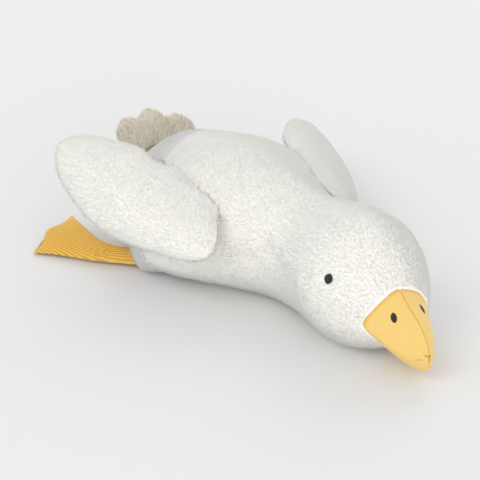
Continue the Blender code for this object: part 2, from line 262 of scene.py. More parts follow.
# The wings: two leaf-shaped cushions of the same white pile, each of two layers sewn round the edge
# and stuffed flat, then sewn to the back along their inner edges, so that they lie over its sides.
WING_VOXEL = 0.004
WING_SHRINK = 0.0030
WING_SETTLE = 0.0035
WING_PRESSURE = 4.0
WING_SWELL = (0.0020, 0.040)
WING_SEEDS = {"right": 21, "left": 33}
WING_JOIN_REACH = {"right": 0.055, "left": 0.018}
WING_JOIN_DEPTH = 0.010
WING_JOIN_BACK = (0.115, 0.085)
WING_JOIN_LOW = (0.065, 0.135)
WING_JOIN_ROUNDS = 90
SHOULDERS = {"right": (-0.112, -0.129, 0.087), "left": (0.095, -0.140, 0.087)}
wings = {}
for side_name, seed in WING_SEEDS.items():
    wing = bare_copy("wing_" + side_name + "_skin", "wing_" + side_name)
    remesh_evenly(wing, WING_VOXEL, 6)
    shrink(wing, WING_SHRINK)
    fill_with_fibre(wing, WING_PRESSURE, WING_SETTLE)
    undulate(wing, *WING_SWELL, seed)
    draw_together(wing, WING_JOIN_REACH[side_name])
    lay_on_floor(wing)
    wing.data.shade_smooth()
    wings[side_name] = wing

# The bag's panels: the white front and the light grey rump, cut from the bag along the slanting
# seam, which pulls the cloth in a little. Each is closed and carries its own pile.
seam_away = Vector((0, math.cos(RUMP_SEAM_SLOPE), -math.sin(RUMP_SEAM_SLOPE)))
seam_at = Vector((0, RUMP_SEAM_BACK, 0))
at = places(bag.data)
from_seam = (at - np.array(seam_at)) @ np.array(seam_away)
pulled = RUMP_SEAM_DEPTH * np.exp(-((from_seam / RUMP_SEAM_WIDTH) ** 2))
set_places(bag.data, at - leanings(bag.data) * pulled[:, None])
lay_on_floor(bag)
bag_skin = surface(bag.data)


def panel_of(name, whole, away):
    """One panel of the bag, closed where the seam cuts it. The cut faces carry no pile."""
    bm = bmesh.new()
    bm.from_mesh(whole.data)
    everything = bm.verts[:] + bm.edges[:] + bm.faces[:]
    cut = bmesh.ops.bisect_plane(bm, geom=everything, plane_co=seam_at, plane_no=away, clear_outer=True)
    cover = bm.faces.layers.float.new("cover")
    for face in bm.faces:
        face[cover] = 1.0
    rim = [e for e in cut["geom_cut"] if isinstance(e, bmesh.types.BMEdge)]
    bmesh.ops.edgenet_fill(bm, edges=rim)
    bmesh.ops.recalc_face_normals(bm, faces=bm.faces)
    mesh = bpy.data.meshes.new(name)
    bm.to_mesh(mesh)
    bm.free()
    mesh.shade_smooth()
    return linked(name, mesh)


body = panel_of("body_skin", bag, seam_away)
rump = panel_of("rump_skin", bag, -seam_away)


def cloth_finish(name, colour, roughness, sheen, weave_size, weave_depth):
    """A matt cloth with a soft sheen and a fine uneven surface."""
    made = bpy.data.materials.new(name)
    made.use_nodes = True
    tree = made.node_tree
    shader = tree.nodes["Principled BSDF"]
    shader.inputs["Base Color"].default_value = (*colour, 1)
    shader.inputs["Roughness"].default_value = roughness
    shader.inputs["Specular IOR Level"].default_value = 0.15
    shader.inputs["Sheen Weight"].default_value = sheen
    shader.inputs["Sheen Roughness"].default_value = 0.5
    where = tree.nodes.new("ShaderNodeTexCoord")
    grain = tree.nodes.new("ShaderNodeTexNoise")
    grain.inputs["Scale"].default_value = 1 / weave_size
    grain.inputs["Detail"].default_value = 3
    bump = tree.nodes.new("ShaderNodeBump")
    bump.inputs["Distance"].default_value = weave_depth
    tree.links.new(where.outputs["Object"], grain.inputs["Vector"])
    tree.links.new(grain.outputs["Fac"], bump.inputs["Height"])
    tree.links.new(bump.outputs["Normal"], shader.inputs["Normal"])
    return made


def fibre_finish(name, colour, sheen):
    """What single tufts are made of: plain, matt, with a soft sheen."""
    made = bpy.data.materials.new(name)
    made.use_nodes = True
    shader = made.node_tree.nodes["Principled BSDF"]
    shader.inputs["Base Color"].default_value = (*colour, 1)
    shader.inputs["Roughness"].default_value = 0.9
    shader.inputs["Specular IOR Level"].default_value = 0.1
    shader.inputs["Sheen Weight"].default_value = sheen
    shader.inputs["Sheen Roughness"].default_value = 0.5
    return made


def cut_pile_tree():
    """Tufts that stand on a skin, lean the way it is combed and gather into loose clumps, some of them in a
    darker second fibre that paints shade among the tufts. None stands closer than the clearance to the
    pieces sewn on the skin."""
    tree = bpy.data.node_groups.new("cut pile", "GeometryNodeTree")
    face = tree.interface
    face.new_socket("Skin", in_out="INPUT", socket_type="NodeSocketGeometry")
    labels = ("Tufts per square metre", "Length", "Width", "Lean", "Unruly", "Clump Size", "Sunk")
    for label in (*labels, "Clearance", "Second Share"):
        face.new_socket(label, in_out="INPUT", socket_type="NodeSocketFloat")
    face.new_socket("Seed", in_out="INPUT", socket_type="NodeSocketInt")
    face.new_socket("Sewn On", in_out="INPUT", socket_type="NodeSocketObject")
    for label in ("Fibre", "Second Fibre"):
        face.new_socket(label, in_out="INPUT", socket_type="NodeSocketMaterial")
    face.new_socket("Pile", in_out="OUTPUT", socket_type="NodeSocketGeometry")
    nodes, links = tree.nodes, tree.links
    given = nodes.new("NodeGroupInput")
    result = nodes.new("NodeGroupOutput")

    def vector_math(kind, a, b=None, scale=None):
        made = nodes.new("ShaderNodeVectorMath")
        made.operation = kind
        links.new(a, made.inputs[0])
        if b is not None:
            links.new(b, made.inputs[1])
        if scale is not None:
            links.new(scale, made.inputs["Scale"])
        return made.outputs["Vector"]

    def named(kind, label):
        made = nodes.new("GeometryNodeInputNamedAttribute")
        made.data_type = kind
        made.inputs["Name"].default_value = label
        return made.outputs["Attribute"]

    dense = nodes.new("ShaderNodeMath")
    dense.operation = "MULTIPLY"
    links.new(given.outputs["Tufts per square metre"], dense.inputs[0])
    links.new(named("FLOAT", "cover"), dense.inputs[1])
    scatter = nodes.new("GeometryNodeDistributePointsOnFaces")
    links.new(given.outputs["Skin"], scatter.inputs["Mesh"])
    links.new(dense.outputs[0], scatter.inputs["Density"])
    links.new(given.outputs["Seed"], scatter.inputs["Seed"])
    keep = nodes.new("GeometryNodeStoreNamedAttribute")
    keep.data_type = "FLOAT_VECTOR"
    keep.inputs["Name"].default_value = "skin_normal"
    links.new(scatter.outputs["Points"], keep.inputs["Geometry"])
    links.new(scatter.outputs["Normal"], keep.inputs["Value"])

    sewn_on = nodes.new("GeometryNodeObjectInfo")
    links.new(given.outputs["Sewn On"], sewn_on.inputs["Object"])
    gap = nodes.new("GeometryNodeProximity")
    links.new(sewn_on.outputs["Geometry"], gap.inputs["Geometry"])
    too_near = nodes.new("FunctionNodeCompare")
    too_near.operation = "LESS_THAN"
    links.new(gap.outputs["Distance"], too_near.inputs["A"])
    links.new(given.outputs["Clearance"], too_near.inputs["B"])
    cleared = nodes.new("GeometryNodeDeleteGeometry")
    links.new(keep.outputs["Geometry"], cleared.inputs["Geometry"])
    links.new(too_near.outputs["Result"], cleared.inputs["Selection"])
    pick = nodes.new("FunctionNodeRandomValue")
    pick.data_type = "BOOLEAN"
    pick.inputs["Seed"].default_value = 77
    links.new(given.outputs["Second Share"], pick.inputs["Probability"])
    marked = nodes.new("GeometryNodeStoreNamedAttribute")
    marked.data_type = "BOOLEAN"
    marked.inputs["Name"].default_value = "second"
    links.new(cleared.outputs["Geometry"], marked.inputs["Geometry"])
    links.new(pick.outputs[3], marked.inputs["Value"])

    chance = nodes.new("FunctionNodeRandomValue")
    chance.data_type = "FLOAT_VECTOR"
    chance.inputs["Min"].default_value = (-1, -1, -1)
    chance.inputs["Max"].default_value = (1, 1, 1)
    links.new(given.outputs["Seed"], chance.inputs["Seed"])
    where = nodes.new("GeometryNodeInputPosition")
    fine = nodes.new("ShaderNodeMath")
    fine.operation = "DIVIDE"
    fine.inputs[0].default_value = 1.0
    links.new(given.outputs["Clump Size"], fine.inputs[1])
    clumps = nodes.new("ShaderNodeTexNoise")
    clumps.inputs["Detail"].default_value = 1
    links.new(where.outputs["Position"], clumps.inputs["Vector"])
    links.new(fine.outputs[0], clumps.inputs["Scale"])
    centred = nodes.new("ShaderNodeVectorMath")
    centred.operation = "SUBTRACT"
    centred.inputs[1].default_value = (0.5, 0.5, 0.5)
    links.new(clumps.outputs["Color"], centred.inputs[0])
    clumped = nodes.new("ShaderNodeVectorMath")
    clumped.operation = "SCALE"
    clumped.inputs["Scale"].default_value = 1.1
    links.new(centred.outputs["Vector"], clumped.inputs[0])
    strays = vector_math("ADD", chance.outputs["Value"], clumped.outputs["Vector"])
    strays = vector_math("SCALE", strays, scale=given.outputs["Unruly"])
    combed = vector_math("SCALE", named("FLOAT_VECTOR", "comb"), scale=given.outputs["Lean"])
    aim = vector_math("ADD", vector_math("ADD", scatter.outputs["Normal"], combed), strays)
    turn = nodes.new("FunctionNodeAlignRotationToVector")
    turn.axis = "Z"
    links.new(aim, turn.inputs["Vector"])

    sink = vector_math("SCALE", scatter.outputs["Normal"], scale=given.outputs["Sunk"])
    lower = nodes.new("GeometryNodeSetPosition")
    links.new(marked.outputs["Geometry"], lower.inputs["Geometry"])
    links.new(sink, lower.inputs["Offset"])

    tuft = nodes.new("GeometryNodeMeshCone")
    tuft.fill_type = "NGON"
    tuft.inputs["Vertices"].default_value = 3
    tuft.inputs["Side Segments"].default_value = 1
    tuft.inputs["Radius Top"].default_value = 0.0
    tuft.inputs["Radius Bottom"].default_value = 0.5
    tuft.inputs["Depth"].default_value = 1.0
    uneven = nodes.new("FunctionNodeRandomValue")
    uneven.data_type = "FLOAT"
    uneven.inputs["Min"].default_value = 0.65
    uneven.inputs["Max"].default_value = 1.15
    tall = nodes.new("ShaderNodeMath")
    tall.operation = "MULTIPLY"
    links.new(given.outputs["Length"], tall.inputs[0])
    links.new(uneven.outputs[1], tall.inputs[1])
    size = nodes.new("ShaderNodeCombineXYZ")
    links.new(given.outputs["Width"], size.inputs["X"])
    links.new(given.outputs["Width"], size.inputs["Y"])
    links.new(tall.outputs[0], size.inputs["Z"])
    plant = nodes.new("GeometryNodeInstanceOnPoints")
    links.new(lower.outputs["Geometry"], plant.inputs["Points"])
    links.new(tuft.outputs["Mesh"], plant.inputs["Instance"])
    links.new(turn.outputs["Rotation"], plant.inputs["Rotation"])
    links.new(size.outputs["Vector"], plant.inputs["Scale"])
    real = nodes.new("GeometryNodeRealizeInstances")
    links.new(plant.outputs["Instances"], real.inputs["Geometry"])
    paint = nodes.new("GeometryNodeSetMaterial")
    links.new(real.outputs["Geometry"], paint.inputs["Geometry"])
    links.new(given.outputs["Fibre"], paint.inputs["Material"])
    second = nodes.new("GeometryNodeSetMaterial")
    links.new(paint.outputs["Geometry"], second.inputs["Geometry"])
    links.new(named("BOOLEAN", "second"), second.inputs["Selection"])
    links.new(given.outputs["Second Fibre"], second.inputs["Material"])
    links.new(second.outputs["Geometry"], result.inputs["Pile"])
    return tree


pile_tree = cut_pile_tree()


def comb(skin, direction):
    """Writes on the skin the way its pile is combed at each vertex, and what carries no pile."""
    at = places(skin.data)
    away = leanings(skin.data)
    way = direction(at)
    way = way - away * (way * away).sum(1, keepdims=True)
    way /= np.maximum(np.linalg.norm(way, axis=1, keepdims=True), 1e-6)
    combed = skin.data.attributes.new("comb", "FLOAT_VECTOR", "POINT")
    combed.data.foreach_set("vector", way.ravel())
    if "cover" not in skin.data.attributes:
        cover = skin.data.attributes.new("cover", "FLOAT", "FACE")
        cover.data.foreach_set("value", np.ones(len(skin.data.polygons)))


def bare_where(skin, hidden):
    """Takes the pile off faces that nothing ever shows, given their middles and normals."""
    count = len(skin.data.polygons)
    middle = np.empty(count * 3)
    away = np.empty(count * 3, np.float32)
    kept = np.empty(count, np.float32)
    skin.data.polygons.foreach_get("center", middle)
    skin.data.polygons.foreach_get("normal", away)
    cover = skin.data.attributes["cover"].data
    cover.foreach_get("value", kept)
    kept[hidden(middle.reshape(-1, 3), away.reshape(-1, 3))] = 0
    cover.foreach_set("value", kept)


def soft_shading(mesh, share):
    """Shades each tuft largely as the skin under it, so that the pile reads as one soft surface."""
    skin = np.empty(len(mesh.vertices) * 3, np.float32)
    mesh.attributes["skin_normal"].data.foreach_get("vector", skin)
    corner = np.empty(len(mesh.loops), np.int32)
    mesh.loops.foreach_get("vertex_index", corner)
    own = np.empty(len(mesh.polygons) * 3, np.float32)
    mesh.polygons.foreach_get("normal", own)
    sides = np.empty(len(mesh.polygons), np.int32)
    mesh.polygons.foreach_get("loop_total", sides)
    own = np.repeat(own.reshape(-1, 3), sides, 0)
    shown = share * skin.reshape(-1, 3)[corner] + (1 - share) * own
    shown += own * np.clip(0.05 - (shown * own).sum(1), 0, None)[:, None]
    shown /= np.maximum(np.linalg.norm(shown, axis=1, keepdims=True), 1e-6)
    mesh.shade_smooth()
    mesh.normals_split_custom_set(shown)
    mesh.attributes.remove(mesh.attributes["skin_normal"])


def grow_pile(name, skin, fibres, per_square_metre, size, lean, unruly, clump, seed, share=0.92, only=None):
    """The pile of one skin, or of the part of it that only picks. Size is a tuft's length and width."""
    made = linked(name, skin.data.copy())
    if only is not None:
        bare_where(made, lambda middle, away: ~only(middle))
    grow = made.modifiers.new("pile", "NODES")
    grow.node_group = pile_tree
    length, width = size
    given = {
        "Tufts per square metre": per_square_metre, "Length": length, "Width": width, "Lean": lean,
        "Unruly": unruly, "Clump Size": clump, "Sunk": -PILE_SUNK * length, "Seed": seed,
        "Clearance": PILE_CLEAR, "Second Share": SECOND_SHARE, "Sewn On": sewn_on,
        "Fibre": fibres[0], "Second Fibre": fibres[1],
    }
    for socket in pile_tree.interface.items_tree:
        if socket.in_out == "INPUT" and socket.name in given:
            grow[socket.identifier] = given[socket.name]
    mesh = set_in_mesh(made)
    for spare in [a.name for a in mesh.attributes if a.name in ("comb", "cover", "second")]:
        mesh.attributes.remove(mesh.attributes[spare])
    soft_shading(mesh, share)
    lay_on_floor(made)
    return made


def finished(piece, slot, *replaced):
    """Rides the piece on the one body and hides the CAD solids that it replaces; the slot is not used."""
    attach(piece, "root")
    if replaced:
        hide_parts(*replaced)


def away_from_beak(at):
    """The pile lies from the face back to the rump."""
    return at - np.array(PILE_ROOT)


def on_the_floor(middle, away):
    return (middle[:, 2] < 0.004) & (away[:, 2] < -0.7)


def ahead_of_neck(middle):
    return middle[:, 1] < NECK_SPLIT


def behind_neck(middle):
    return ~ahead_of_neck(middle)


WHITE = (0.965, 0.955, 0.905)
WHITE_SHADED = (0.94, 0.93, 0.88)
GREY = (0.74, 0.74, 0.735)
GREY_SHADED = (0.68, 0.68, 0.675)
white_cloth = cloth_finish("white pile backing", WHITE, 1.0, 0.1, 0.002, 0.0004)
white_fibres = (
    fibre_finish("white pile", WHITE, 0.1),
    fibre_finish("white pile, shaded", WHITE_SHADED, 0.1),
)
grey_cloth = cloth_finish("grey velour backing", GREY, 1.0, 0.1, 0.0015, 0.0003)
grey_fibres = (
    fibre_finish("grey velour", GREY, 0.1),
    fibre_finish("grey velour, shaded", GREY_SHADED, 0.1),
)
sewn_on = bare_copy("sewn_on", "beak", "eye_right", "eye_left")

body.data.materials.append(white_cloth)
rump.data.materials.append(grey_cloth)
comb(body, away_from_beak)
comb(rump, away_from_beak)
bare_where(body, on_the_floor)
bare_where(rump, on_the_floor)
WHITE_PILE = (300000, (0.0046, 0.0014), 0.3, 0.30, 0.0036)
GREY_PILE = (300000, (0.0028, 0.0014), 0.4, 0.20, 0.0040)
head_pile = grow_pile("head_pile", body, white_fibres, *WHITE_PILE, 11, only=ahead_of_neck)
body_pile = grow_pile("body_pile", body, white_fibres, *WHITE_PILE, 13, only=behind_neck)
rump_pile = grow_pile("rump_pile", rump, grey_fibres, *GREY_PILE, 12)
finished(body, "white pile", "body")
finished(rump, "light grey pile", "rump")
finished(head_pile, "white pile")
finished(body_pile, "white pile")
finished(rump_pile, "light grey pile")

# The pile of the wings, combed back from the shoulders they are sewn on at.
for side_name, wing in wings.items():
    wing.data.materials.append(white_cloth)
    comb(wing, lambda at: at - np.array(SHOULDERS[side_name]))
    pile = grow_pile("wing_" + side_name + "_pile", wing, white_fibres, *WHITE_PILE, WING_SEEDS[side_name])
    finished(wing, "white pile", "wing_" + side_name)
    finished(pile, "white pile")
bpy.data.objects.remove(bag)

# The tail: three plump lobes of longer taupe pile, stuffed and sewn into the end of the rump
# so that they fan out and tip up.
TAIL_VOXEL = 0.0028
TAIL_SHRINK = 0.0036
TAIL_SETTLE = 0.0012
TAIL_PRESSURE = 2.0
TAIL_ROOT = (0.011, 0.120, -0.060)
TAIL_PILE = (420000, (0.0095, 0.0013), 1.7, 0.28, 0.006)
TAUPE = (0.68, 0.63, 0.53)
TAUPE_TIPS = (0.84, 0.785, 0.665)
# A darker strand colour, scattered among the tufts at random, paints the shade in the gaps between clumps of
# hair.
TAUPE_SHADED = (0.56, 0.51, 0.415)
tail_cloth = cloth_finish("taupe backing", TAUPE, 1.0, 0.1, 0.002, 0.0006)
tail_fibres = (
    fibre_finish("taupe pile", TAUPE_TIPS, 0.15),
    fibre_finish("taupe pile, shaded", TAUPE_SHADED, 0.15),
)
tail = bare_copy("tail_skin", "tail")
remesh_evenly(tail, TAIL_VOXEL, 3)
shrink(tail, TAIL_SHRINK)
fill_with_fibre(tail, TAIL_PRESSURE, TAIL_SETTLE)
tail.data.shade_smooth()
tail.data.materials.append(tail_cloth)
comb(tail, lambda at: at - np.array(TAIL_ROOT))
tail_pile = grow_pile("tail_pile", tail, tail_fibres, *TAIL_PILE, 41, 0.55)
finished(tail, "taupe pile", "tail")
finished(tail_pile, "taupe pile")

# The legs: one tube of mustard corduroy each, its ribs running from hip to toe, cut wide into a
# webbed foot, closed round the edge and barely stuffed, so that it lies limp on the floor.
LEG_WIDTH = 0.026
LEG_LENGTH = 0.022
LEG_THICKNESS = 0.017
FOOT_WIDTH = 0.083
FOOT_LENGTH = 0.109
WEB_DEPTH = 0.004
MIDDLE_TOE = 0.009
FOOT_FLARE = 1.6
TOE_ROUND = 0.22
TOE_THICKNESS = 0.0055
WALE_PITCH = 0.0033
WALE_DEPTH = 0.0009
TOE_PRESSED = 0.8
# Where the ribs are pressed flat, the painted groove shade fades towards the lit crest colour by this much.
PRESSED_PALE = 0.8
HIP = (0.118, 0.082)
HIP_DEPTH = 0.020
ANKLE_BEND = math.radians(22.0)
LEG_SPREAD = math.radians(40.0)
LEG_DROOP = math.radians(1.6)
RIGHT_FOOT_ROLL = math.radians(15.0)
LEFT_FOOT_ROLL = 0.0
LEG_ROWS = 200
TOP_COLUMNS = 300
SOLE_COLUMNS = 60
# Each wrinkle: how far down the leg it lies, how far across, and its depth.
WRINKLES = ((0.052, 0.55, 0.0014), (0.059, 0.2, 0.0018), (0.066, 0.6, 0.0016), (0.075, 0.3, 0.0010))
WRINKLE_WIDTH = 0.0024
WRINKLE_REACH = 0.008
# The groove colour is the cloth's own darkened with painted shade; the crest colour is the cloth's own,
# paled by brushing and by painted light.
GROOVE_SHADED = (0.62, 0.335, 0.045)
CREST_BRUSHED_LIT = (0.90, 0.56, 0.115)


def corduroy(name):
    """Ribs, paler on their crests and darker down in their grooves: partly the cloth's brushed crests,
    mostly painted light on the crests and painted shade in the grooves.
    """
    made = cloth_finish(name, CREST_BRUSHED_LIT, 0.9, 0.25, 0.0009, 0.0005)
    tree = made.node_tree

    def maths(kind, value, *others):
        made = tree.nodes.new("ShaderNodeMath")
        made.operation = kind
        tree.links.new(value, made.inputs[0])
        for slot, other in enumerate(others, 1):
            made.inputs[slot].default_value = other
        return made.outputs[0]

    # The wave across each rib paints light on the crests and shade in the grooves.
    wale = tree.nodes.new("ShaderNodeAttribute")
    wale.attribute_name = "wale"
    wave = maths("COSINE", maths("MULTIPLY", wale.outputs["Fac"], 2 * math.pi))
    crest = maths("MULTIPLY_ADD", wave, 0.5, 0.5)
    pressed = tree.nodes.new("ShaderNodeAttribute")
    pressed.attribute_name = "pressed"
    flat = tree.nodes.new("ShaderNodeMath")
    flat.operation = "MAXIMUM"
    tree.links.new(crest, flat.inputs[0])
    tree.links.new(maths("MULTIPLY", pressed.outputs["Fac"], PRESSED_PALE), flat.inputs[1])
    spots = tree.nodes.new("ShaderNodeTexNoise")
    spots.inputs["Scale"].default_value = 400
    where = tree.nodes.new("ShaderNodeTexCoord")
    tree.links.new(where.outputs["Object"], spots.inputs["Vector"])
    worn = tree.nodes.new("ShaderNodeMapRange")
    worn.inputs["To Min"].default_value = -0.2
    worn.inputs["To Max"].default_value = 0.2
    tree.links.new(spots.outputs["Fac"], worn.inputs["Value"])
    share = tree.nodes.new("ShaderNodeMath")
    share.operation = "ADD"
    share.use_clamp = True
    tree.links.new(flat.outputs[0], share.inputs[0])
    tree.links.new(worn.outputs["Result"], share.inputs[1])
    mix = tree.nodes.new("ShaderNodeMix")
    mix.data_type = "RGBA"
    colour_in = [s for s in mix.inputs if s.type == "RGBA"]
    colour_in[0].default_value = (*GROOVE_SHADED, 1)
    colour_in[1].default_value = (*CREST_BRUSHED_LIT, 1)
    tree.links.new(share.outputs[0], mix.inputs["Factor"])
    colour_out = [s for s in mix.outputs if s.type == "RGBA"][0]
    tree.links.new(colour_out, tree.nodes["Principled BSDF"].inputs["Base Color"])
    return made


mustard = corduroy("mustard corduroy")


def round_off(t, reach):
    """Rises from 0 to 1 as a quarter of an ellipse while t goes from 0 to reach."""
    return math.sqrt(max(0.0, 1 - (1 - min(1.0, t / reach)) ** 2))


def leg_of(side_name, side, roll):
    """A leg and foot of two ribbed sheets, laid out from the hip and set down at its CAD height."""
    whole = HIP_DEPTH + LEG_LENGTH + FOOT_LENGTH
    bm = bmesh.new()
    wale_layer = bm.verts.layers.float.new("wale")
    pressed_layer = bm.verts.layers.float.new("pressed")
    sheets = {1: [], -1: []}
    middle = Vector((0, 0, 0))
    for i in range(LEG_ROWS):
        t = i / (LEG_ROWS - 1)
        past = max(0.0, (t * whole - HIP_DEPTH - LEG_LENGTH) / FOOT_LENGTH)
        half = LEG_WIDTH / 2 + (FOOT_WIDTH - LEG_WIDTH) / 2 * past ** FOOT_FLARE
        stuffed = (LEG_THICKNESS - TOE_THICKNESS) * (1 - t / 3) * round_off(1 - t, TOE_ROUND)
        puff = (TOE_THICKNESS + stuffed) / 2
        bend = side * ANKLE_BEND * min(1.0, 2 * past)
        along = Vector((-math.sin(bend), math.cos(bend), 0))
        across = Vector((math.cos(bend), math.sin(bend), 0))
        for face, sheet in sheets.items():
            row = []
            columns = TOP_COLUMNS if face > 0 else SOLE_COLUMNS
            for k in range(columns + 1):
                reach = math.sin(math.pi * (k / columns - 0.5))
                x = half * reach
                swell = puff * math.sqrt(max(0.0, 1 - reach * reach))
                pressed = TOE_PRESSED * past * max(0.0, -side * reach)
                deep = min(WALE_DEPTH / 2, swell * 0.3)
                rib = (1 - pressed) * deep * math.cos(2 * math.pi * x / WALE_PITCH)
                for spot, at_side, depth in WRINKLES if face > 0 else ():
                    off = (t * whole - spot - 0.25 * x * side) / WRINKLE_WIDTH
                    fade = (x / half - at_side * side) * half / WRINKLE_REACH
                    dent = math.exp(-off * off) - 0.5 * math.exp(-(off - 2) ** 2)
                    rib -= depth * dent * math.exp(-fade * fade)
                web = WEB_DEPTH * math.sin(2 * math.pi * x / FOOT_WIDTH) ** 2
                toe = MIDDLE_TOE * math.cos(math.pi * x / FOOT_WIDTH) ** 2
                height = Vector((0, 0, puff + face * (swell + rib)))
                v = bm.verts.new(middle + x * across + (toe - web) * past ** 2 * along + height)
                v[wale_layer] = x / WALE_PITCH
                v[pressed_layer] = pressed
                row.append(v)
            sheet.append(row)
        middle = middle + along * whole / (LEG_ROWS - 1)
    for face, sheet in sheets.items():
        for near, far in zip(sheet, sheet[1:]):
            for k in range(len(near) - 1):
                corners = (near[k], near[k + 1], far[k + 1], far[k])
                bm.faces.new(corners if face > 0 else corners[::-1])
    bmesh.ops.remove_doubles(bm, verts=bm.verts, dist=0.00002)
    bmesh.ops.holes_fill(bm, edges=[e for e in bm.edges if e.is_boundary])
    bmesh.ops.recalc_face_normals(bm, faces=bm.faces)
    name = "leg_" + side_name
    mesh = bpy.data.meshes.new(name + "_cloth")
    bm.to_mesh(mesh)
    bm.free()
    leg = linked(name + "_cloth", mesh)
    spot = (side * (HIP[0] - HIP_DEPTH * math.sin(LEG_SPREAD)), HIP[1] - HIP_DEPTH * math.cos(LEG_SPREAD), 0)
    spread = Matrix.Rotation(-side * LEG_SPREAD, 4, "Z")
    droop = Matrix.Rotation(-LEG_DROOP, 4, "X")
    mesh.transform(Matrix.Translation(spot) @ spread @ droop @ Matrix.Rotation(side * roll, 4, "Y"))
    at = places(mesh)
    at[:, 2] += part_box(name)[0].z - at[:, 2].min()
    set_places(mesh, at)
    mesh.shade_smooth()
    mesh.materials.append(mustard)
    finished(leg, "mustard corduroy", name)


leg_of("right", -1, RIGHT_FOOT_ROLL)
leg_of("left", 1, LEFT_FOOT_ROLL)

# The beak: a stuffed wedge of yellow brushed felt, two side panels meeting in a ridge seam along
# the top, tucked at the tip for a mouth, and sewn into the face.
BEAK_WIDTH = 0.1045
BEAK_HEIGHT = 0.1141
BEAK_LENGTH = 0.0925
BEAK_BOW = -0.0118
BEAK_TIP_WIDTH = 0.0286
BEAK_TIP_HEIGHT = 0.0653
BEAK_CHIN_RISE = 0.019
BEAK_BROADEST = 0.44
BEAK_TIP_ROUND = 0.386
BEAK_TOP_SQUARENESS = 1.98
BEAK_CHIN_SQUARENESS = 1.48
BEAK_FALL = 0.733
BEAK_AT = (0.0141, -0.2561, 0.001)
BEAK_TURN = math.radians(-8.6)
BEAK_ROWS = 170
BEAK_SIDES = 220
RIDGE_CROWDING = 0.78
RIDGE_SEAM = (0.0008, 0.0008)
RIDGE_LIPS = (0.0028, 0.0015, 0.0002)
# How far the painted contact shadow reaches up the beak from the face.
FACE_SEAM_SHADOW = 0.0016
FELT = (0.87, 0.60, 0.195)
# The colour of the painted shade in the felt's folds, along its ridge seam and round its root.
FELT_FOLD_SHADE = (0.60, 0.30, 0.045)
# Each fold: its two ends, its width and depth, and how dark the shade painted in it is.
FOLDS = (
    ((-0.0034, -0.3442, 0.0385), (0.0022, -0.3467, 0.0373), 0.0011, 0.0024, 1.0),
    ((-0.0007, -0.3466, 0.0368), (0.0004, -0.3468, 0.0238), 0.0009, 0.0010, 0.6),
    ((-0.0113, -0.3351, 0.0312), (-0.0067, -0.3417, 0.0330), 0.0011, 0.0010, 0.45),
)


def beak_point(t, angle):
    """A point of the wedge: t is 0 at the face and 1 at the tip."""
    rounding = round_off(1 - t, BEAK_TIP_ROUND)
    half = (BEAK_WIDTH + (BEAK_TIP_WIDTH - BEAK_WIDTH) * t) / 2 * rounding
    ridge = BEAK_HEIGHT + (BEAK_TIP_HEIGHT - BEAK_HEIGHT) * t + 4 * BEAK_BOW * t * (1 - t)
    bottom = BEAK_CHIN_RISE * (1 - t)
    middle = bottom + BEAK_BROADEST * (ridge - bottom)
    c = abs(math.cos(angle))
    if math.sin(angle) >= 0:
        z = middle + (ridge - middle) * rounding * (1 - c ** BEAK_TOP_SQUARENESS) ** BEAK_FALL
    else:
        z = middle - (middle - bottom) * rounding * (1 - c ** BEAK_CHIN_SQUARENESS) ** BEAK_FALL
    return Vector((half * math.cos(angle), -t * BEAK_LENGTH, z))


def felt(name):
    """Brushed felt, a little cloudy, with painted shade down in its folds and along its ridge seam, and a
    painted contact shadow at its root.
    """
    made = cloth_finish(name, FELT, 0.95, 0.2, 0.0010, 0.0003)
    tree = made.node_tree
    where = tree.nodes.new("ShaderNodeTexCoord")
    clouds = tree.nodes.new("ShaderNodeTexNoise")
    clouds.inputs["Scale"].default_value = 420
    clouds.inputs["Detail"].default_value = 4
    tree.links.new(where.outputs["Object"], clouds.inputs["Vector"])
    ramp = tree.nodes.new("ShaderNodeValToRGB")
    ramp.color_ramp.elements[0].position = 0.3
    ramp.color_ramp.elements[0].color = (FELT[0] * 0.965, FELT[1] * 0.95, FELT[2] * 0.90, 1)
    ramp.color_ramp.elements[1].position = 0.7
    ramp.color_ramp.elements[1].color = (FELT[0] * 1.02, FELT[1] * 1.03, FELT[2] * 1.12, 1)
    tree.links.new(clouds.outputs["Fac"], ramp.inputs["Fac"])
    # How much painted shade each point of the felt carries.
    fold_shade = tree.nodes.new("ShaderNodeAttribute")
    fold_shade.attribute_name = "fold_shade"
    mix = tree.nodes.new("ShaderNodeMix")
    mix.data_type = "RGBA"
    colour_in = [s for s in mix.inputs if s.type == "RGBA"]
    colour_in[1].default_value = (*FELT_FOLD_SHADE, 1)
    tree.links.new(ramp.outputs["Color"], colour_in[0])
    tree.links.new(fold_shade.outputs["Fac"], mix.inputs["Factor"])
    colour_out = [s for s in mix.outputs if s.type == "RGBA"][0]
    tree.links.new(colour_out, tree.nodes["Principled BSDF"].inputs["Base Color"])
    return made


def beak_rings():
    """The beak's skin in rings from root to tip, finest along the ridge and round the tip."""
    for i in range(BEAK_ROWS):
        t = math.sin(math.pi / 2 * i / (BEAK_ROWS - 0.4))
        ring = []
        for k in range(BEAK_SIDES):
            from_ridge = 2 * math.pi * k / BEAK_SIDES
            angle = math.pi / 2 + from_ridge - RIDGE_CROWDING * math.sin(from_ridge)
            ring.append(beak_point(t, angle))
        yield ring


